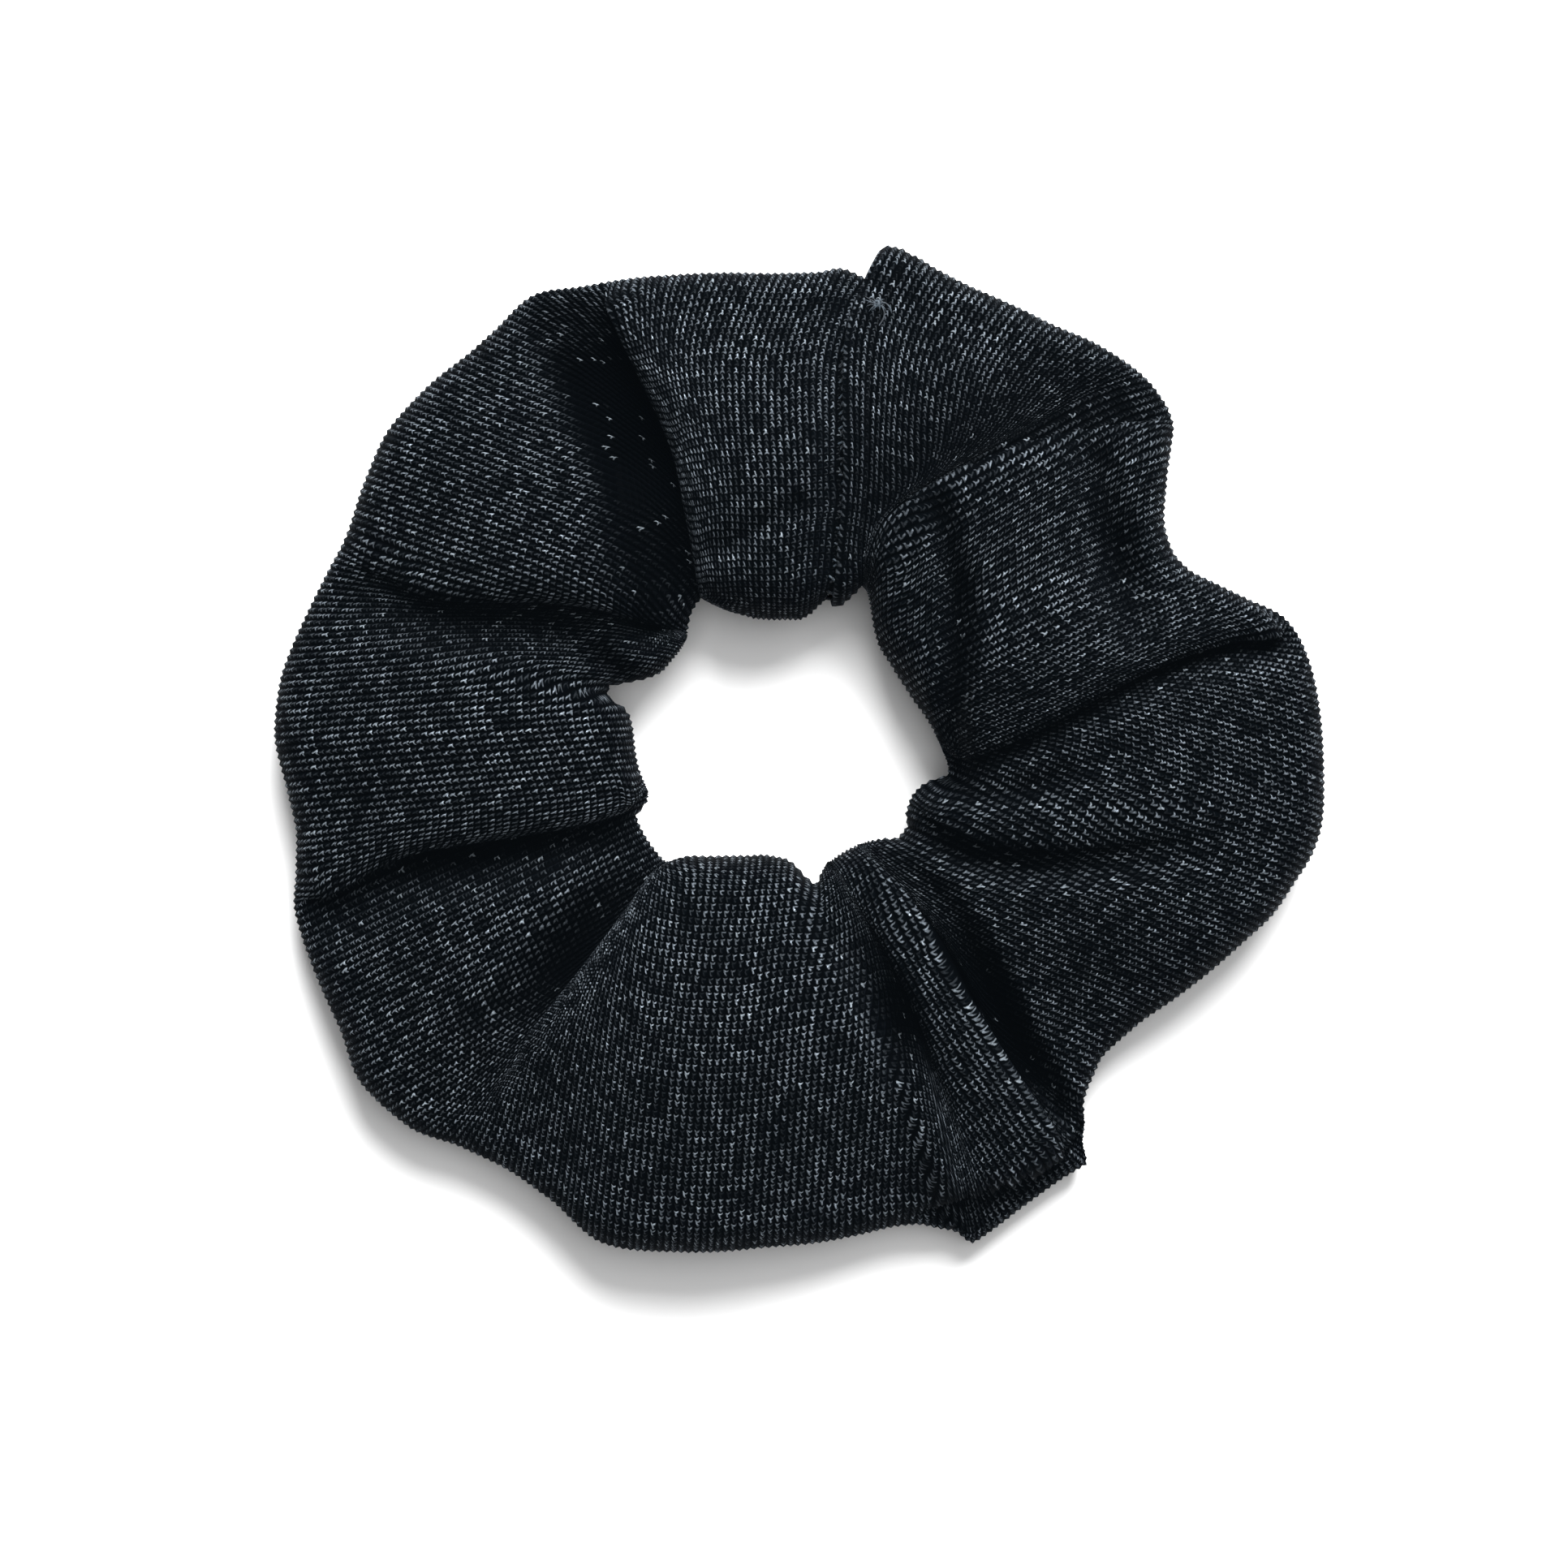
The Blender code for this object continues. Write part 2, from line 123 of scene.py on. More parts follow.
FOLDS = (
    # The seven valleys that part the panels, anticlockwise from the upper left
    Fold(((-10.8, 18.4), (-11.9, 24.7), (-13.7, 32.8), (-17.3, 40.9), (-21.4, 48.6)),
         ((0, 6.5), (0.25, 7.0), (0.5, 11.0), (0.8, 9.0), (1, 4.0)), -1, 3.4, 12.4, 1.8, bed=0.62),
    Fold(((-12.8, 12.1), (-17.3, 13.9), (-25.4, 15.7), (-38.0, 16.2), (-45.2, 18.4)),
         ((0, 2.6), (0.35, 5.0), (0.75, 5.5), (1, 2.6)), -1, 3.8, 8.5, 0.8, bed=0.2),
    Fold(((-17.8, -6.3), (-23.6, -8.1), (-34.4, -9.9), (-43.4, -11.7), (-50.6, -15.8)),
         ((0, 4.5), (0.5, 7.0), (1, 4.0)), -1, 3.0, 8.5, 1.6, bed=0.25),
    Fold(((-16.0, -13.6), (-19.1, -18.0), (-23.2, -23.4), (-27.2, -28.4), (-31.5, -33.5)),
         ((0, 5.0), (0.5, 7.5), (0.8, 5.0), (1, 1.5)), 1, 3.0, 8.5, 1.2, bed=0.3),
    Fold(((4.7, -14.9), (9.2, -21.5), (12.8, -28.5), (15.1, -35.6)),
         ((0, 0.6), (0.35, 3.4), (0.7, 7.0), (1, 2.0)), 1, 3.0, 7.0, 0.5, bed=0.4),
    Fold(((11.0, -14.0), (15.6, -19.0), (19.8, -26.6), (23.0, -33.2), (26.8, -39.0)),
         ((0, 3.0), (0.2, 3.2), (0.45, 7.0), (0.75, 9.0), (1, 5.0)), -1, 4.2, 5.4, 1.0, bed=0.4),
    Fold(((16.9, -1.4), (25.0, 1.8), (37.6, 8.5), (46.6, 11.7), (51.1, 12.1)),
         ((0, 5.5), (0.4, 5.5), (0.8, 7.5), (1, 7.0)), 1, 3.0, 6.0, 2.0, bed=0.2),
    # The soft lip beside the closing seam
    Fold(((7.3, 18.0), (7.5, 21.5), (9.6, 25.6), (15.1, 29.2), (24.1, 33.3), (33.1, 35.5), (40.7, 36.9)),
         ((0, 2.0), (0.2, 3.0), (0.5, 4.4), (1, 2.6)), -1, 4.0, 12.0, 0.8,
         ribs=((7.3, 18.0), (7.5, 21.5), (9.6, 25.6), (15.1, 29.4), (24.1, 34.4), (32.0, 38.8),
               (38.5, 41.0))),
    # Folds and dips within the panels
    Fold(((13.8, -7.4), (19.0, -10.0), (25.2, -10.9), (32.0, -10.8), (41.0, -10.3)),
         ((0, 3.5), (0.3, 5.5), (0.6, 4.0), (1, 1.5)), 1, 4.5, 5.5, 0.8, bed=0.35, parting=False),
    Fold(((16.2, 21.3), (17.3, 16.0), (17.2, 10.5), (16.4, 4.5), (16.6, -0.5)),
         ((0, 3.0), (0.5, 6.0), (1, 5.5)), 0, 2.8, 2.6, parting=False),
    Fold(((33.2, 27.6), (34.4, 21.0), (36.2, 15.4)),
         ((0, 3.0), (0.5, 5.5), (1, 3.0)), 0, 3.8, 4.2, parting=False),
    Fold(((15.8, -3.4), (20.0, -4.9), (25.3, -3.9), (31.0, -1.4)),
         ((0, 4.5), (0.5, 3.6), (1, 0.8)), 0, 3.4, 2.4, parting=False),
    Fold(((-17.6, 7.2), (-20.6, 9.2), (-23.6, 11.4)),
         ((0, 3.8), (0.6, 4.2), (1, 1.0)), 0, 2.2, 2.4, parting=False),
    Fold(((-4.0, 24.0), (2.0, 27.0)),
         ((0, 1.2), (0.5, 1.2), (1, 0.6)), 0, 2.5, 2.5, parting=False),
    # The step down to the flat seam allowance at the lower right
    Fold(((12.4, -51.8), (16.0, -50.0), (24.1, -47.7), (28.6, -45.5), (31.3, -41.4)),
         ((0, 0.8), (0.3, 5.0), (1, 5.0)), 1, 3.0, 8.0, 0.8, parting=False, step=True),
)

# One rib along the middle of each panel, from the hole outwards, (x, y). The end panels' ribs follow the
# seam instead.
SPINES = (
    ((-10.5, 14.5), (-13.5, 18.5), (-20.0, 22.8), (-38.0, 30.5), (-48.0, 34.5)),
    ((-18.0, 3.0), (-40.0, 0.8), (-58.0, -1.0)),
    ((-17.0, -9.5), (-30.0, -16.0), (-52.0, -27.0)),
    ((-4.0, -12.0), (-6.0, -30.0), (-8.0, -57.0)),
    ((8.5, -15.0), (16.5, -29.0), (27.0, -45.0)),
    ((14.5, -5.0), (32.0, -13.0), (54.0, -22.0)),
    ((15.5, 9.5), (28.0, 16.0), (41.0, 22.0)),
)
# How far each panel's ribs close up to the hole, the end panels' included
FAN = (0.1, 0.1, 0.1, 0.1, 0.1, 0.3, 0.05, 0.0, 0.6)

RIB_PITCH = 0.80
COURSE_PITCH = 0.80
RIB_HEIGHT = 0.12
COLUMNS_A_RIB = 4
PULL = 6.0               # how suddenly a panel's ribs close up beside a parting

NOSE_RUN = 5.5
RIM_RUN = 4.5
NOSE_LEVEL = 0.45
RIM_LEVEL = 0.5
SLIT_RADIUS = 36.0       # the tube's own seam, underneath
SLIT_GAP = 0.4
ALLOWANCE = 5.0
PUFF = 3.2               # how far the cloth swells between the crown and the shoulder
PUFF_LEAN = 0.5          # how much nearer the crown that swelling lies
CROWN_BEND = 1.7         # above 1, the cloth falls towards the shoulder late

# The flat seam allowance that peeps out at the lower right: from and to, in degrees, and its rim
TAB_ANGLES = (287.6, 306.5)
TAB_BLEND = 2.0
TAB_LEVEL = 3.2
TAB_RUN = 1.2

# How far lines in plan are carried on (before their start, beyond their end), to cross every row
SEAM_REACH = (5, 12)
PARTING_REACH = (7, 26)
SPINE_REACH = (5, 14)
HALF_PANEL = 2           # a spine stays this many degrees inside its panel
SEAM_MARGIN = 20         # a line that lies this many degrees before the seam counts as after it

PAST_END = 8.0           # a valley dies out this far beyond its line
FADE_IN = 4.0            # and begins over this length
FULL_LAP = 4.0           # a valley this deep has its whole lap
LAP_OVER_VALLEY = 0.8    # the share of a lap that hides the valley's bottom
LIP_FULLNESS = 0.7       # how high the lip's curve holds before it falls, as a share of the depth
# Painted shade in the valleys:
STEP_SHADE = 1.2         # a step's shade falls off over this length
DEEPEST = 8.0            # a valley this deep is as dark as any

TAIL_RIBS = 5            # the ribs of the tube's tail, which lie under the hem
TUCK = 1.5               # how deep the cloth lies under the hem
TUCK_REACH = 5.0
# Painted shade on the cloth by the hem's edge:
TUCK_EDGE = 0.2          # the hem's shade starts to fade this far from its edge
TUCK_SHADE = 1.0         # and fades over this length
TUCK_PAINTED_SHADE = 0.8
TAIL_SLOPE = 0.08

HEM_BEND = 0.45
HEM_TURNS = (40, 80, 120, 160)
HEM_RISE = 0.25          # how much thicker the hem makes the cloth
HEM_COLUMNS = 16         # the columns that are turned under
HEM_GROOVE = 2.9         # the hem's line of sewing, this far inside its edge
RIDGE_RUN = 0.8
GROOVE_WIDTH = 0.4
GROOVE_DEPTH = 0.3
# painted shade along the hem's line of sewing, as a share of the darkest
GROOVE_PAINTED_SHADE = 0.55

THREAD = 0.30
STITCH_ROWS = 3          # rows of the cloth from one slip stitch to the next
IN_HEM = (1.1, 0.9)      # how deep a stitch lies in the hem, where it goes in and comes out
IN_CLOTH = (0.6, 1.0)    # and in the cloth beside it
KNOT = (8.7, 48.5)
KNOT_NEAR = 0.8          # the knot stands on the highest of the hem within this distance
KNOT_COLUMNS = 64        # and among this many of the cloth's last columns
KNOT_RADIUS = 0.50
KNOT_SHAPE = (1, 0.7, 0.6)
KNOT_LIFT = 0.15
KNOT_WINDS = 6
KNOT_TILTS = 1.25
KNOT_ENDS = (((0.5, -0.4), (0.7, -1.3), (0.2, -2.3), (-0.4, -3.0)), ((0.7, 0.1), (1.3, -0.4), (1.5, -1.1)))
END_LIFT = 0.35
FUZZ = 26
FUZZ_RADIUS = 0.06
FUZZ_BEND = 0.4

ELASTIC_RADIUS = 24.0
CORD_PITCH = 0.62
PLAIT_PITCH = 0.9
PLY_PITCH = (0.55, 0.40)    # how far the plies wind along a thread that runs level, and along one that rises

CAMERA_HEIGHT = 0.6      # metres
CAMERA_OVER = (-1.5, -3.7)
VIEW_WIDTH = 0.1739      # metres, at the table
SENSOR = 36

FLOOR_SIZE = 6.0         # metres
FLOOR_DROP = 0.0003
FLOOR_GREY = 0.9


def smooth(x):
    x = np.clip(x, 0.0, 1.0)
    return x * x * (3 - 2 * x)


def curve_through(table, at):
    """A table of (position, value) read along a smooth curve that doesn't overshoot."""
    rows = np.array(table, float)
    x, y = rows[:, 0], rows[:, 1]
    step = np.diff(y) / np.diff(x)
    slope = np.empty(len(x))
    slope[0], slope[-1] = step[0], step[-1]
    same = step[:-1] * step[1:] > 0
    safe = np.where(same, step[:-1] + step[1:], 1.0)
    slope[1:-1] = np.where(same, 2 * step[:-1] * step[1:] / safe, 0.0)
    at = np.clip(at, x[0], x[-1])
    k = np.clip(np.searchsorted(x, at, side="right") - 1, 0, len(x) - 2)
    h = x[k + 1] - x[k]
    t = (at - x[k]) / h
    return (
        y[k] * (1 + 2 * t) * (1 - t) ** 2
        + y[k + 1] * t * t * (3 - 2 * t)
        + h * slope[k] * t * (1 - t) ** 2
        - h * slope[k + 1] * t * t * (1 - t)
    )


def polar(points):
    """Angle (unwrapped) and radius about the ring's centre."""
    rel = np.asarray(points, float) - RING_CENTRE
    return np.degrees(np.unwrap(np.arctan2(rel[:, 1], rel[:, 0]))), np.hypot(rel[:, 0], rel[:, 1])


def about_ring(table):
    """A table of (angle, radius) about the origin, turned to one about the ring's centre."""
    rows = np.array(table, float)
    turn = np.radians(rows[:, 0])
    return np.stack(polar(np.stack((np.cos(turn), np.sin(turn)), -1) * rows[:, 1:]), -1)


OUTER_ABOUT_RING = about_ring(OUTER_EDGE)
FIRST_ANGLE = OUTER_ABOUT_RING[0, 0]


def smooth_path(points, spacing):
    """A smooth curve through the points, in plan or in space."""
    p = np.array(points, float)
    ends = np.vstack((2 * p[0] - p[1], p, 2 * p[-1] - p[-2]))
    out = []
    for a, b, c, d in zip(ends, ends[1:], ends[2:], ends[3:]):
        count = max(2, int(np.linalg.norm(c - b) / spacing))
        t = (np.arange(count) / count)[:, None]
        out.append(0.5 * (2 * b + (c - a) * t + (2 * a - 5 * b + 4 * c - d) * t**2
                          + (3 * b - 3 * c + d - a) * t**3))
    return np.vstack(out + [p[-1:]])


def rounded_line(points, before=0.0, beyond=0.0, spacing=0.5):
    """A smooth curve through the points, carried straight on before its start and beyond its end."""
    line = smooth_path(points, spacing)
    start = (line[0] - line[1]) / np.linalg.norm(line[0] - line[1])
    end = (line[-1] - line[-2]) / np.linalg.norm(line[-1] - line[-2])
    lead = np.arange(spacing, before + spacing / 2, spacing)[::-1, None]
    trail = np.arange(spacing, beyond + spacing / 2, spacing)[:, None]
    return np.vstack((line[0] + start * lead, line, line[-1] + end * trail))


# The rows of the cloth round the tube, from the slit's inner side over the crown to its outer side:
# (kind, position in the kind)
ROWS = (
    [("up_in", t) for t in np.linspace(1, 0, 3)[:-1]]
    + [("under_in", t) for t in np.linspace(0, 1, 10)[:-1]]
    + [("nose", t) for t in np.linspace(-90, 90, 19)[:-1]]
    + [("crown", t) for t in np.linspace(0, 1, 49)[:-1]]
    + [("rim", t) for t in np.linspace(90, -90, 19)[:-1]]
    + [("under_out", t) for t in np.linspace(0, 1, 7)[:-1]]
    + [("up_out", t) for t in np.linspace(0, 1, 3)]
)
KINDS = [kind for kind, t in ROWS]
ROW_COUNT = len(ROWS)
RIM_ROW = ROWS.index(("rim", 0.0))
NOSE_ROW = ROWS.index(("nose", 0.0))


def tab(angle):
    """How much the cloth at an angle is the flat flange that peeps out at the front."""
    first, last = TAB_ANGLES
    return smooth((angle - first) / TAB_BLEND) * smooth((last - angle) / TAB_BLEND)


def section(angle, row):
    """Radius, height and share of a fold's depth, of a row of the unfolded tube at the angles."""
    kind, t = ROWS[row]
    round_again = np.where(angle < INNER_EDGE[0][0], angle + 360, angle)
    inner = curve_through(INNER_EDGE, round_again)
    outer = curve_through(OUTER_ABOUT_RING, angle)
    top = curve_through(CROWN, round_again)
    shoulder = curve_through(SHOULDER, round_again)
    flat = tab(angle)
    nose = NOSE_LEVEL * top
    rim = RIM_LEVEL * shoulder * (1 - flat) + TAB_LEVEL * flat
    rim_run = RIM_RUN * (1 - flat) + TAB_RUN * flat
    zero = np.zeros_like(inner)
    if kind == "up_in":
        return zero + SLIT_RADIUS - SLIT_GAP, zero + ALLOWANCE * t, zero
    if kind == "up_out":
        return zero + SLIT_RADIUS + SLIT_GAP, zero + ALLOWANCE * t, zero
    if kind == "under_in":
        reach = inner + NOSE_RUN - SLIT_RADIUS + SLIT_GAP
        return SLIT_RADIUS - SLIT_GAP + reach * t, zero, zero
    if kind == "nose":
        s = np.sin(np.radians(t))
        c = np.cos(np.radians(t))
        height = nose * (1 + s) if s < 0 else nose + (top - nose) * s
        return inner + NOSE_RUN * (1 - c), height, zero + max(s, 0.0)
    if kind == "crown":
        start = inner + NOSE_RUN
        puff = PUFF * np.sin(np.pi * t) * (1 - PUFF_LEAN * t)
        height = top + (shoulder - top) * t**CROWN_BEND + puff
        return start + (outer - rim_run - start) * t, height, zero + 1.0
    if kind == "rim":
        s = np.sin(np.radians(t))
        c = np.cos(np.radians(t))
        height = rim * (1 + s) if s < 0 else rim + (shoulder - rim) * s
        return outer - rim_run * (1 - c), height, zero + max(s, 0.0)
    reach = SLIT_RADIUS + SLIT_GAP - outer + rim_run
    return outer - rim_run + reach * t, zero, zero


def crossing(line, row):
    """The angle where a line in plan crosses a row."""
    angle, radius = polar(line)
    if angle.mean() < FIRST_ANGLE - SEAM_MARGIN:
        angle = angle + 360
    gap = radius - section(angle, row)[0]
    k = np.argmax(gap > 0)
    if k == 0:
        return angle[0] if gap[0] > 0 else angle[-1]
    share = gap[k - 1] / (gap[k - 1] - gap[k])
    return angle[k - 1] + (angle[k] - angle[k - 1]) * share


def rim_lengths():
    """The angles along the rim, in small steps from before the seam to past it, and the length to each."""
    past = 8
    angle = np.arange(FIRST_ANGLE - past, FIRST_ANGLE + 360 + past, 0.05)
    radius = curve_through(OUTER_ABOUT_RING, angle)
    turn = np.radians(angle)
    xy = np.stack((np.cos(turn), np.sin(turn)), -1) * radius[:, None]
    length = np.concatenate(((0,), np.cumsum(np.linalg.norm(np.diff(xy, axis=0), axis=1))))
    return angle, length


def panel_edges(row, seam, partings):
    """The angles of the panels' edges at a row, from the seam round to the seam again."""
    start = crossing(seam, row)
    return [start] + [crossing(line, row) for line in partings] + [start + 360]


def gather(off, middle, spread, sides):
    """The angles at a row of a panel's columns, from how far off its middle they lie at the rim.

    spread is how much wider those angles are at the row. sides are (sign, the panel's width on that side
    of the middle, that width at the rim). Towards an edge the columns close up, to stay within it.
    """
    angles = np.full(len(off), middle)
    for sign, width, rim_width in sides:
        part = off * sign > 0
        wide = off[part] * sign * spread
        if width > 0:
            t = wide / width
            squeeze = 1 - (rim_width * spread / width) ** -PULL
            wide = width * t / (1 + squeeze * t**PULL) ** (1 / PULL)
        angles[part] = middle + sign * wide
    return angles


def cloth_angles():
    """The angle of every column of the cloth at every row, and each column's place along the cut cloth."""
    seam = rounded_line(SEAM_LINE, *SEAM_REACH)
    partings = [
        rounded_line(fold.ribs, *PARTING_REACH) if fold.ribs else fold.valley(*PARTING_REACH)
        for fold in FOLDS if fold.parting
    ]
    spines = [rounded_line(spine, *SPINE_REACH) for spine in SPINES]
    rim_edges = panel_edges(RIM_ROW, seam, partings)
    rim_middles = [rim_edges[0]] + [crossing(spine, RIM_ROW) for spine in spines] + [rim_edges[-1]]

    # The columns are evenly spaced along the rim, and some more lie before the seam.
    rim_angle, rim_length = rim_lengths()
    begin, end = np.interp((rim_edges[0], rim_edges[-1]), rim_angle, rim_length)
    ribs = round((end - begin) / RIB_PITCH)
    place = np.arange(-TAIL_RIBS * COLUMNS_A_RIB, ribs * COLUMNS_A_RIB + 1) / COLUMNS_A_RIB
    at_rim = np.interp(begin + (end - begin) * place / ribs, rim_length, rim_angle)
    panel = np.clip(np.searchsorted(rim_edges, at_rim, side="right") - 1, 0, len(rim_middles) - 1)

    angles = np.repeat(at_rim[:, None], ROW_COUNT, axis=1)
    for row in range(NOSE_ROW, RIM_ROW + 1):
        edges = panel_edges(row, seam, partings)
        middles = [
            np.clip(crossing(spine, row), low + HALF_PANEL, high - HALF_PANEL)
            for spine, low, high in zip(spines, edges[1:], edges[2:])
        ]
        for k, middle in enumerate([edges[0]] + middles + [edges[-1]]):
            radius = section(np.array([middle]), row)[0][0]
            outer = section(np.array([middle]), RIM_ROW)[0][0]
            spread = (outer / radius) ** (1 - FAN[k])
            sides = (
                (1, edges[k + 1] - middle, rim_edges[k + 1] - rim_middles[k]),
                (-1, middle - edges[k], rim_middles[k] - rim_edges[k]),
            )
            mine = panel == k
            angles[mine, row] = gather(at_rim[mine] - rim_middles[k], middle, spread, sides)

    # Underneath, the columns come back to where they are at the rim.
    first_under = KINDS.index("under_in")
    for row in range(first_under, NOSE_ROW):
        share = smooth((row - first_under) / (NOSE_ROW - first_under))
        angles[:, row] = at_rim + (angles[:, NOSE_ROW] - at_rim) * share
    return angles, place


def grid_normals(p):
    """The way out of the cloth at every point of a grid."""
    along = np.gradient(p, axis=0)
    across = np.gradient(p, axis=1)
    n = np.cross(across, along)
    return n / np.maximum(np.linalg.norm(n, axis=-1, keepdims=True), 1e-9)


def to_line(line, plan):
    """Signed distance to a line in plan (left of its way is positive), the way across, and the place."""
    shape = plan.shape[:-1]
    flat = plan.reshape(-1, 2)
    lengths = np.linalg.norm(np.diff(line, axis=0), axis=1)
    starts = np.concatenate(((0,), np.cumsum(lengths)))
    best = np.full(len(flat), 1e18)
    signed = np.zeros(len(flat))
    place = np.zeros(len(flat))
    across = np.zeros((len(flat), 2))
    for a, b, length, before in zip(line, line[1:], lengths, starts):
        way = (b - a) / length
        left = np.array((-way[1], way[0]))
        rel = flat - a
        along = np.clip(rel @ way, 0, length)
        off = rel - along[:, None] * way
        dist = np.einsum("ij,ij->i", off, off)
        near = dist < best
        best[near] = dist[near]
        size = np.sqrt(dist[near])
        side = np.sign((off[near] @ left) + 1e-12)
        signed[near] = side * size
        place[near] = before + along[near]
        unit = off[near] / np.maximum(size, 1e-6)[:, None] * side[:, None]
        across[near] = np.where(size[:, None] > 1e-4, unit, left)
    return signed.reshape(shape), across.reshape(plan.shape), place.reshape(shape)


def fold_section(fold, d, depth):
    """A fold's section, at distances from its line that are positive on the side that laps over.

    That is, the share of the depth that the cloth falls by, and where it comes to lie across the line.
    """
    fall = np.zeros(len(d))
    moved = d.copy()
    far = d < 0
    if fold.step:
        fall[far] = 1.0
    else:
        fall[far] = 1 - smooth((-d[far] / fold.flank - fold.bed) / (1 - fold.bed))
    lip = (d >= 0) & (d < fold.lip)
    x = d[lip] / fold.lip
    if not fold.over:
        fall[lip] = 1 - smooth(x)
        return fall, moved
    # The lip's section is a cubic curve that leans out by the lap halfway down. rate spaces the cloth's
    # rows evenly along it.
    strength = np.clip(depth[lip] / FULL_LAP, 0, 1)
    lean = fold.lap / 0.75 * strength
    rate = fold.lip / (3 * lean + 3 * fold.lip)
    rate = 1 + (rate - 1) * strength
    t = np.maximum(x, 1e-9) ** rate
    fall[lip] = (1 - t) ** 3 + 3 * LIP_FULLNESS * (1 - t) ** 2 * t
    curled = -3 * lean * t * (1 - t) + t**3 * fold.lip
    moved[lip] = d[lip] + (curled - d[lip]) * strength
    return fall, moved


def press_fold(fold, points, share, painted_shade):
    """Press a valley into the cloth, in place, and note in painted_shade how dark the valley's painted shade
    is.
    """
    further = 2
    reach = max(fold.flank, fold.lip) + PAST_END + further
    line = rounded_line(fold.line, spacing=1.0)
    low = line.min(0) - reach
    high = line.max(0) + reach
    plan = points[..., :2]
    near = ((plan > low) & (plan < high)).all(-1) & (share > 0)
    own = points[near]
    longer = fold.valley(before=PAST_END, beyond=PAST_END + further, spacing=1.0)
    signed, across, place = to_line(longer, own[:, :2])
    total = np.linalg.norm(np.diff(line, axis=0), axis=1).sum()
    place = place - PAST_END
    fading = smooth((total + PAST_END - place) / PAST_END) * smooth((place + PAST_END) / FADE_IN)
    depth = curve_through(fold.depth, place / total) * fading * share[near]
    over = fold.over or 1
    d = signed * over
    fall, moved = fold_section(fold, d, depth)
    sink = depth * fall
    own[:, 2] -= sink
    own[:, :2] += across * ((moved - d) * over)[:, None]
    points[near] = own

    # The valley gets painted shade, darker as the cloth sinks deeper. The painted shade ends early on the
    # lip, and on the open side of a step.
    shade = np.where(d < 0, sink, sink * fall)
    if fold.step:
        shade[d < 0] *= np.exp(d[d < 0] / STEP_SHADE)
    painted_shade[near] = np.maximum(painted_shade[near], shade)


def cloth_grid():
    """The gathered cloth's points, its columns' places, its rows' places in courses, and its painted shade
    in the valleys.
    """
    angles, place = cloth_angles()
    radius = np.empty_like(angles)
    height = np.empty_like(angles)
    share = np.empty_like(angles)
    for row in range(ROW_COUNT):
        radius[:, row], height[:, row], share[:, row] = section(angles[:, row], row)
    turn = np.radians(angles)
    points = np.stack((
        RING_CENTRE[0] + radius * np.cos(turn),
        RING_CENTRE[1] + radius * np.sin(turn),
        height,
    ), -1)
    courses = course_places(points)
    painted_shade = np.zeros_like(height)
    for fold in FOLDS:
        press_fold(fold, points, share, painted_shade)
    return points, place, courses, painted_shade


def tuck_tail(points, place, painted_shade):
    """Sink the cloth towards the seam and past it, so that it lies under the hem, with painted shade by the
    hem's edge.
    """
    run = place * RIB_PITCH
    sink = TUCK * (1 - smooth(run / TUCK_REACH)) + TAIL_SLOPE * np.clip(-run, 0, None)
    shade = DEEPEST * TUCK_PAINTED_SHADE * (1 - smooth((run - TUCK_EDGE) / TUCK_SHADE))
    painted_shade[:] = np.maximum(painted_shade, shade[:, None])
    return points - grid_normals(points) * sink[:, None, None]


def turn_hem(points, place, painted_shade):
    """Turn the last of the cloth under, round a small bend and back along its own inside.

    The line of sewing is a groove, with painted shade along it.
    """
    normals = grid_normals(points)
    ahead = points[-1] - points[-2]
    ahead /= np.linalg.norm(ahead, axis=-1, keepdims=True)
    bends = [
        points[-1] + ahead * HEM_BEND * np.sin(a) - normals[-1] * HEM_BEND * (1 - np.cos(a))
        for a in np.radians(HEM_TURNS)
    ]
    back = points[-1:-HEM_COLUMNS:-1] - normals[-1:-HEM_COLUMNS:-1] * 2 * HEM_BEND
    inside = (place[-1] - place) * RIB_PITCH
    ridge = HEM_RISE * smooth((HEM_GROOVE + RIDGE_RUN - inside) / RIDGE_RUN)
    groove = np.exp(-((inside - HEM_GROOVE) / GROOVE_WIDTH) ** 2)
    painted_shade[:] = np.maximum(painted_shade, DEEPEST * GROOVE_PAINTED_SHADE * groove[:, None])
    points = points + normals * (ridge - GROOVE_DEPTH * groove)[:, None, None]
    more = np.arange(1, len(bends) + len(back) + 1) / COLUMNS_A_RIB
    return np.concatenate((points, np.array(bends), back)), np.concatenate((place, place[-1] + more))


def carried_on(values, columns):
    """A value of the cloth's last column, kept for the columns added after it."""
    return np.concatenate((values, np.repeat(values[-1:], columns - len(values), axis=0)))


def course_places(points):
    """Length along every column from the rim, in courses."""
    steps = np.linalg.norm(np.diff(points, axis=1), axis=-1)
    along = np.concatenate((np.zeros((len(points), 1)), np.cumsum(steps, axis=1)), 1)
    return (along - along[:, RIM_ROW:RIM_ROW + 1]) / COURSE_PITCH


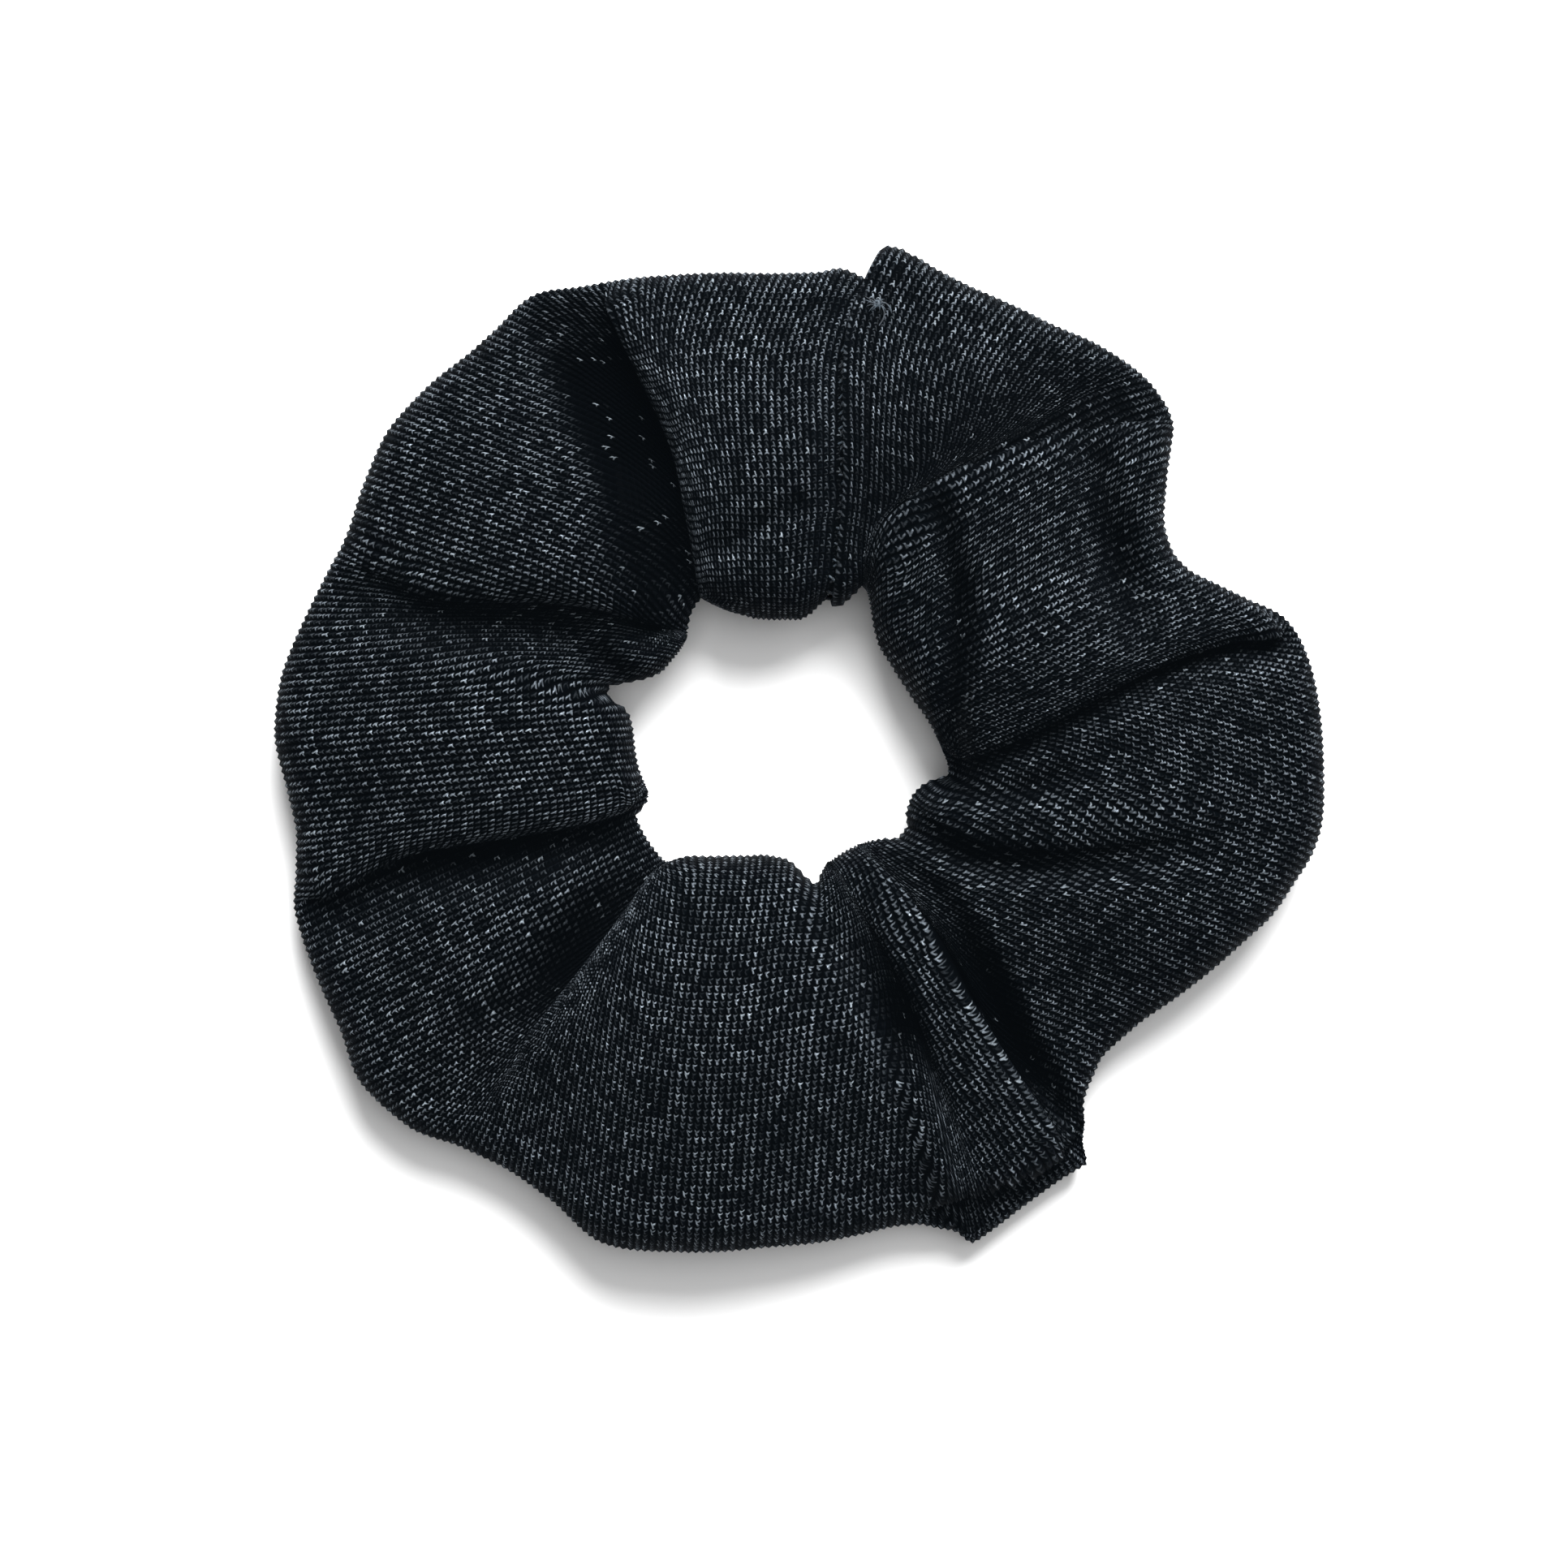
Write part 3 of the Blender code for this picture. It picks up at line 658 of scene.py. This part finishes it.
def mesh_of_grids(name, grids):
    """One mesh of grids of points. Each grid is (points, u, v), u and v its own coordinates."""
    corners, quads, coordinates = [], [], []
    count = 0
    for points, u, v in grids:
        cols, rows = points.shape[:2]
        index = np.arange(cols * rows).reshape(cols, rows)
        quad = np.stack((index[:-1, :-1], index[:-1, 1:], index[1:, 1:], index[1:, :-1]), -1).reshape(-1, 4)
        uv = np.stack((np.broadcast_to(u, (cols, rows)), np.broadcast_to(v, (cols, rows))), -1)
        corners.append(points.reshape(-1, 3))
        coordinates.append(uv.reshape(-1, 2)[quad.ravel()])
        quads.append(quad + count)
        count += cols * rows
    quads = np.concatenate(quads)
    mesh = bpy.data.meshes.new(name)
    mesh.vertices.add(count)
    mesh.vertices.foreach_set("co", (np.concatenate(corners) * MM).astype(np.float32).ravel())
    mesh.loops.add(quads.size)
    mesh.loops.foreach_set("vertex_index", quads.astype(np.int32).ravel())
    mesh.polygons.add(len(quads))
    mesh.polygons.foreach_set("loop_start", np.arange(0, quads.size, 4, dtype=np.int32))
    mesh.polygons.foreach_set("use_smooth", np.ones(len(quads), bool))
    mesh.update()
    layer = mesh.uv_layers.new(name="cloth")
    layer.data.foreach_set("uv", np.concatenate(coordinates).astype(np.float32).ravel())
    obj = bpy.data.objects.new(name, mesh)
    bpy.context.scene.collection.objects.link(obj)
    return obj


def tube(path, radius, sides=8, taper=0.0):
    """A round thread along a path, as a grid with its length and turn, its ends tapered over taper."""
    path = np.asarray(path, float)
    way = np.gradient(path, axis=0)
    way /= np.maximum(np.linalg.norm(way, axis=1, keepdims=True), 1e-9)
    length = np.concatenate(((0,), np.cumsum(np.linalg.norm(np.diff(path, axis=0), axis=1))))
    left = np.empty_like(path)
    last = np.cross(way[0], (0.31, 0.17, 0.94))        # any way but the thread's own would do
    for k, ahead in enumerate(way):
        last = last - ahead * (last @ ahead)
        last = last / np.linalg.norm(last)
        left[k] = last
    up = np.cross(way, left)
    from_end = np.minimum(length, length[-1] - length)
    thick = radius * np.sqrt(np.clip(from_end / taper, 0.01, 1)) if taper else np.full(len(path), radius)
    turn = np.linspace(0, 2 * np.pi, sides + 1)
    ring = left[:, None] * np.cos(turn)[None, :, None] + up[:, None] * np.sin(turn)[None, :, None]
    points = path[:, None] + ring * thick[:, None, None]
    return points[:, ::-1], length[:, None], turn[None, ::-1] / (2 * np.pi)


class Graph:
    """A material's nodes, each made by a call that takes values or other nodes' outputs."""

    def __init__(self, name):
        self.material = bpy.data.materials.new(name)
        self.material.use_nodes = True
        self.nodes = self.material.node_tree.nodes
        self.shader = self.nodes["Principled BSDF"]

    def put(self, socket, value):
        if isinstance(value, bpy.types.NodeSocket):
            self.material.node_tree.links.new(value, socket)
        else:
            socket.default_value = value

    def math(self, operation, *values):
        node = self.nodes.new("ShaderNodeMath")
        node.operation = operation
        for socket, value in zip(node.inputs, values):
            self.put(socket, value)
        return node.outputs[0]

    def times(self, *values):
        """The product of two values or more."""
        product = values[0]
        for value in values[1:]:
            product = self.math("MULTIPLY", product, value)
        return product

    def less(self, value):
        """One less a value."""
        return self.math("SUBTRACT", 1.0, value)

    def from_middle(self, share):
        """How far a share of a cell is from the cell's middle, 1 at its edges."""
        return self.math("ABSOLUTE", self.math("SUBTRACT", self.math("MULTIPLY", share, 2.0), 1.0))

    def swing(self, share, size):
        """A share turned to a swing about zero, size wide."""
        return self.math("MULTIPLY", self.math("SUBTRACT", share, 0.5), size)

    def step(self, value, low, high):
        node = self.nodes.new("ShaderNodeMapRange")
        node.interpolation_type = "SMOOTHSTEP"
        self.put(node.inputs["Value"], value)
        self.put(node.inputs["From Min"], low)
        self.put(node.inputs["From Max"], high)
        return node.outputs["Result"]

    def mix(self, share, a, b):
        node = self.nodes.new("ShaderNodeMix")
        node.data_type = "RGBA"
        self.put(node.inputs["Factor"], share)
        self.put(node.inputs["A"], a)
        self.put(node.inputs["B"], b)
        return node.outputs["Result"]

    def vector(self, x, y, z=0.0):
        node = self.nodes.new("ShaderNodeCombineXYZ")
        for socket, value in zip(node.inputs, (x, y, z)):
            self.put(socket, value)
        return node.outputs[0]

    def noise(self, where, scale, detail=2.0):
        node = self.nodes.new("ShaderNodeTexNoise")
        self.put(node.inputs["Vector"], where)
        self.put(node.inputs["Scale"], scale)
        self.put(node.inputs["Detail"], detail)
        return node.outputs["Fac"]

    def random(self, where):
        node = self.nodes.new("ShaderNodeTexWhiteNoise")
        node.noise_dimensions = "3D"
        self.put(node.inputs["Vector"], where)
        return node.outputs["Value"]

    def uv(self, name):
        node = self.nodes.new("ShaderNodeUVMap")
        node.uv_map = name
        split = self.nodes.new("ShaderNodeSeparateXYZ")
        self.put(split.inputs[0], node.outputs[0])
        return split.outputs[0], split.outputs[1]

    def attribute(self, name):
        node = self.nodes.new("ShaderNodeAttribute")
        node.attribute_name = name
        return node.outputs["Fac"]

    def place(self):
        node = self.nodes.new("ShaderNodeTexCoord")
        return node.outputs["Object"]

    def bump(self, height, depth, strength=1.0):
        node = self.nodes.new("ShaderNodeBump")
        self.put(node.inputs["Height"], height)
        self.put(node.inputs["Distance"], depth)
        self.put(node.inputs["Strength"], strength)
        return node.outputs[0]


def filament(g, across, along, side, wobble, luck):
    """The metal filament's share of a stitch, a hooked stroke: a leaning leg on a foot."""
    lean = g.math("ADD", 0.30, g.times(along, along, 0.42))
    lean = g.math("ADD", lean, g.swing(luck, 0.16))
    leg = g.math("ABSOLUTE", g.math("SUBTRACT", g.math("ADD", across, wobble), lean))
    leg = g.times(g.less(g.step(leg, 0.05, 0.17)), g.step(along, 0.08, 0.24))
    leg = g.times(leg, g.less(g.step(along, 0.68, 0.90)))
    foot = g.math("ABSOLUTE", g.math("SUBTRACT", g.math("ADD", along, wobble), 0.20))
    foot = g.times(g.less(g.step(foot, 0.05, 0.15)), g.less(g.step(side, 0.45, 0.75)))
    return g.math("MAXIMUM", leg, g.times(foot, 0.8))


def knit_material():
    """Dark yarn in ribs and bowed courses, with a metal filament that glints from stitch to stitch, painted
    shade in the grooves and folds, and painted glints on a few stitches.
    """
    painted_dark_yarn = (0.0002, 0.0003, 0.0005, 1)
    painted_lit_yarn = (0.0004, 0.0008, 0.0013, 1)
    dim_metal = (0.18, 0.212, 0.245, 1)
    bright_metal = (0.25, 0.29, 0.335, 1)
    glint = (0.20, 0.232, 0.26, 1)

    g = Graph("ribbed_metallic_knit")
    u, v = g.uv("cloth")
    # A slow drift keeps the courses from looking machine ruled, and a quick one the loops.
    drift = g.swing(g.noise(g.vector(u, v), 0.11), 1.6)
    wobble = g.swing(g.noise(g.vector(u, v), 1.3), 0.5)
    v = g.math("ADD", v, drift)
    across = g.math("FRACT", u)
    side = g.from_middle(across)
    cord = g.less(g.math("POWER", side, 2.5))
    bowed = g.math("ADD", v, g.times(side, side, 0.32))
    along = g.math("FRACT", bowed)
    loop = g.less(g.times(g.math("POWER", g.from_middle(along), 3.0), 0.7))
    stitch = g.times(cord, loop)

    rib_number = g.math("FLOOR", u)
    course_number = g.math("FLOOR", bowed)
    luck = g.random(g.vector(rib_number, course_number))
    glint_luck = g.random(g.vector(rib_number, course_number, 7.0))
    metal_luck = g.random(g.vector(rib_number, course_number, 13.0))
    stroke = filament(g, across, along, side, wobble, metal_luck)

    fine = g.noise(g.vector(u, v), 2.6, 3.0)
    patch = g.step(g.noise(g.vector(u, v), 0.16), 0.3, 0.7)
    # Painted shade from the valleys, the hem and its groove darkens the yarn and the filament, and thins out
    # the painted glints.
    painted_shade = g.attribute("painted_shade")
    painted_light_share = g.math("POWER", g.less(painted_shade), 1.8)
    worn = g.math("ADD", 0.35, g.times(g.step(fine, 0.40, 0.62), 0.65))
    level = g.math("ADD", 0.04, g.times(g.math("POWER", luck, 1.6), 0.96))
    shine = g.times(stroke, worn, level, g.math("ADD", 0.6, g.times(patch, 0.4)), painted_light_share)
    # A few stitches at random get a painted glint, a bright colour that shows in any light, fewer of them in
    # the painted shade.
    rare = g.math("ADD", 0.92, g.times(painted_shade, 0.05))
    painted_glint = g.times(stroke, worn, g.step(glint_luck, rare, 1.0))

    # The yarn's colour is painted darker in the grooves between cords and courses and in the valleys:
    # painted shade.
    lit = g.times(stitch, g.math("ADD", 0.15, g.times(painted_light_share, 0.85)))
    colour = g.mix(shine, g.mix(lit, painted_dark_yarn, painted_lit_yarn), g.mix(metal_luck, dim_metal, bright_metal))
    g.put(g.shader.inputs["Base Color"], g.mix(painted_glint, colour, glint))
    g.put(g.shader.inputs["Metallic"], g.times(shine, 0.7))
    g.put(g.shader.inputs["Roughness"], g.math("SUBTRACT", 0.72, g.times(shine, 0.34)))
    g.shader.inputs["IOR"].default_value = 1.2
    g.shader.inputs["Specular IOR Level"].default_value = 0.03
    g.shader.inputs["Sheen Weight"].default_value = 0.006
    g.shader.inputs["Sheen Roughness"].default_value = 0.4
    g.shader.inputs["Sheen Tint"].default_value = (0.45, 0.6, 0.85, 1)
    # A faint bluish glow, painted light, keeps the valleys from pure black.
    g.shader.inputs["Emission Color"].default_value = (0.55, 0.78, 1.0, 1)
    g.shader.inputs["Emission Strength"].default_value = 0.0034
    relief = g.math("ADD", stitch, g.times(fine, 0.35))
    g.put(g.shader.inputs["Normal"], g.bump(relief, 0.00022, 0.8))
    return g.material


def ring_coordinates(g):
    """Length round the ring and height, in millimetres, for a piece that follows the elastic's circle."""
    split = g.nodes.new("ShaderNodeSeparateXYZ")
    g.put(split.inputs[0], g.place())
    x = g.math("SUBTRACT", split.outputs[0], float(RING_CENTRE[0]) * MM)
    y = g.math("SUBTRACT", split.outputs[1], float(RING_CENTRE[1]) * MM)
    turn = g.math("ARCTAN2", y, x)
    return g.math("MULTIPLY", turn, ELASTIC_RADIUS), g.math("DIVIDE", split.outputs[2], MM)


def elastic_material():
    """Flat braid: cords along the band, each plaited of yarns that slant one way and then the other."""
    g = Graph("braided_elastic")
    along, height = ring_coordinates(g)
    side = g.from_middle(g.math("FRACT", g.math("DIVIDE", height, CORD_PITCH)))
    slant = g.math("ADD", g.math("DIVIDE", along, PLAIT_PITCH), g.times(side, 0.5))
    yarn = g.from_middle(g.math("FRACT", slant))
    fibre = g.noise(g.vector(g.times(along, 3.0), g.times(height, 9.0)), 1.0, 3.0)
    relief = g.times(g.less(g.math("POWER", side, 3.0)), g.less(g.math("POWER", yarn, 3.0)))
    relief = g.times(relief, g.math("ADD", 0.7, g.times(fibre, 0.5)))
    # The braid's colour is painted darker between its cords and yarns: painted shade.
    g.put(g.shader.inputs["Base Color"], g.mix(relief, (0.004, 0.004, 0.005, 1), (0.030, 0.031, 0.034, 1)))
    g.put(g.shader.inputs["Roughness"], g.math("SUBTRACT", 0.9, g.times(relief, 0.2)))
    g.put(g.shader.inputs["Normal"], g.bump(relief, 0.0002, 0.8))
    return g.material


def thread_material():
    """Two-ply polyester thread: plies that wind round it, with fibres along them."""
    g = Graph("sewing_thread")
    along, height = ring_coordinates(g)
    level_pitch, rising_pitch = PLY_PITCH
    wind = g.math("ADD", g.math("DIVIDE", along, level_pitch), g.math("DIVIDE", height, rising_pitch))
    ply = g.less(g.math("POWER", g.from_middle(g.math("FRACT", wind)), 2.0))
    fibre = g.noise(g.place(), 9000.0, 3.0)
    relief = g.times(ply, g.math("ADD", 0.6, g.times(fibre, 0.6)))
    # The thread's colour is painted darker between its plies: painted shade.
    g.put(g.shader.inputs["Base Color"], g.mix(relief, (0.005, 0.007, 0.010, 1), (0.036, 0.052, 0.068, 1)))
    g.put(g.shader.inputs["Roughness"], g.math("SUBTRACT", 0.85, g.times(relief, 0.25)))
    g.put(g.shader.inputs["Normal"], g.bump(relief, 0.00008, 0.8))
    return g.material


def fabric_cover():
    """The cover, and what the closing stitch needs.

    That is, for each row, the hem's edge, the way out of the cloth there and the cloth beside it, and the
    points of the hem's top.
    """
    points, place, courses, painted_shade = cloth_grid()
    points = tuck_tail(points, place, painted_shade)
    normals = grid_normals(points)
    next_rib = COLUMNS_A_RIB * (TAIL_RIBS + 1)
    beside = points[next_rib] + normals[next_rib] * RIB_HEIGHT
    edge = points[-1]
    outwards = normals[-1]
    points, place = turn_hem(points, place, painted_shade)
    courses = carried_on(courses, len(points))
    painted_shade = carried_on(painted_shade, len(points))
    rib = -np.cos(2 * np.pi * place)[:, None, None] * RIB_HEIGHT
    points = points + grid_normals(points) * rib
    hem = points[-KNOT_COLUMNS:, NOSE_ROW:RIM_ROW].reshape(-1, 3)
    cover = mesh_of_grids("knit_cover", [(points, place[:, None], courses)])
    # The painted shade of the valleys, by the hem and along its groove goes to the material as an attribute.
    layer = cover.data.attributes.new("painted_shade", "FLOAT", "POINT")
    layer.data.foreach_set("value", (painted_shade / DEEPEST).clip(0, 1).astype(np.float32).ravel())
    cover.data.materials.append(knit_material())
    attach(cover, "cover")
    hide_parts("fabric_cover")
    return edge, outwards, beside, hem


def slip_stitches(edge, outwards, beside):
    """One thread round the tube, in turn through the hem and through the cloth beside it."""
    way = []
    for row in range(KINDS.index("under_in"), KINDS.index("up_out") - 2, STITCH_ROWS):
        for sink in IN_HEM:
            way.append(edge[row] - outwards[row] * sink)
        for sink in IN_CLOTH:
            way.append(beside[row + 1] - outwards[row] * sink)
    return tube(smooth_path(way, 0.2), THREAD / 2, taper=0.5)


def wound_ball(centre):
    """A thread wound to a ball, flatter than it is wide."""
    turns = np.linspace(0, 1, 90)
    swing = 2 * np.pi * turns * KNOT_WINDS
    tilt = 2 * np.pi * turns * KNOT_TILTS
    ball = np.stack((np.cos(swing) * np.cos(tilt), np.sin(swing), np.cos(swing) * np.sin(tilt)), -1)
    return tube(centre + ball * KNOT_SHAPE * KNOT_RADIUS, THREAD / 2, taper=0.3)


def frayed_ends(centre):
    """The knot's two loose ends and the fuzz of fibres about it."""
    grids = []
    for end in KNOT_ENDS:
        loose = [centre] + [centre + np.array((x, y, END_LIFT)) for x, y in end]
        grids.append(tube(smooth_path(loose, 0.12), THREAD / 3.5, taper=0.6))
    luck = np.random.default_rng(11)
    for _ in range(FUZZ):
        aim = luck.uniform(-1, 1, 3) * (1, 0.8, 0.25)
        bend = luck.uniform(-FUZZ_BEND, FUZZ_BEND, 3) * (1, 1, 0.2)
        hair = [centre, centre + aim * 0.6 + (0, 0, 0.2), centre + aim * 1.2 + bend]
        grids.append(tube(smooth_path(hair, 0.15), FUZZ_RADIUS, sides=5, taper=0.4))
    return grids


def closing_thread(edge, outwards, beside, hem, sewing):
    """The slip stitches that close the ring, tied off in a frayed knot on the hem."""
    near = np.linalg.norm(hem[:, :2] - KNOT, axis=1) < KNOT_NEAR
    centre = np.array((*KNOT, hem[near, 2].max() + KNOT_LIFT))
    grids = [slip_stitches(edge, outwards, beside), wound_ball(centre)] + frayed_ends(centre)
    stitch = mesh_of_grids("closing_stitch", grids)
    stitch.data.materials.append(sewing)
    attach(stitch, "cover")
    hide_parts("closing_thread")


def dress_hidden_nodes(sewing):
    """The elastic and the seams' threads keep their solids, with materials of their own."""
    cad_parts["elastic_band"].data.materials[0] = elastic_material()
    for name in ("elastic_join_bobbin_thread", "elastic_join_needle_thread", "tube_seam_needle_thread",
                 "tube_seam_upper_looper_thread", "tube_seam_lower_looper_thread"):
        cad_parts[name].data.materials[0] = sewing


def camera():
    """Straight down, as in the photo."""
    data = bpy.data.cameras.new("overhead")
    obj = bpy.data.objects.new("overhead", data)
    bpy.context.scene.collection.objects.link(obj)
    x, y = CAMERA_OVER
    data.sensor_width = SENSOR
    data.lens = SENSOR * CAMERA_HEIGHT / VIEW_WIDTH
    obj.location = (x * MM, y * MM, CAMERA_HEIGHT)
    bpy.context.scene.camera = obj


def lamp(name, size, power, place):
    """A round soft light that faces the ring."""
    data = bpy.data.lights.new(name, "AREA")
    data.shape = "DISK"
    data.size = size
    data.energy = power
    obj = bpy.data.objects.new(name, data)
    bpy.context.scene.collection.objects.link(obj)
    obj.location = place
    obj.rotation_euler = (-Vector(place)).to_track_quat("-Z", "Y").to_euler()


def floor():
    """A pale plain table."""
    bpy.ops.mesh.primitive_plane_add(size=FLOOR_SIZE, location=(0, 0, -FLOOR_DROP))
    obj = bpy.context.object
    obj.name = "table"
    mat = bpy.data.materials.new("table")
    mat.use_nodes = True
    shader = mat.node_tree.nodes["Principled BSDF"]
    shader.inputs["Base Color"].default_value = (FLOOR_GREY, FLOOR_GREY, FLOOR_GREY, 1)
    shader.inputs["Roughness"].default_value = 0.9
    obj.data.materials.append(mat)


def studio():
    """A lamp from behind the ring, a softer one overhead, and dim white surroundings."""
    lamp("key", size=0.65, power=27, place=(0.14, 0.62, 0.68))
    lamp("fill", size=1.2, power=10, place=(0.2, 0.1, 1.3))
    world = bpy.data.worlds.new("studio")
    world.use_nodes = True
    background = world.node_tree.nodes["Background"]
    background.inputs["Color"].default_value = (1, 1, 1, 1)
    background.inputs["Strength"].default_value = 0.13
    bpy.context.scene.world = world
    bpy.context.scene.view_settings.view_transform = "Standard"


camera()
floor()
studio()
sewing = thread_material()
closing_thread(*fabric_cover(), sewing)
dress_hidden_nodes(sewing)
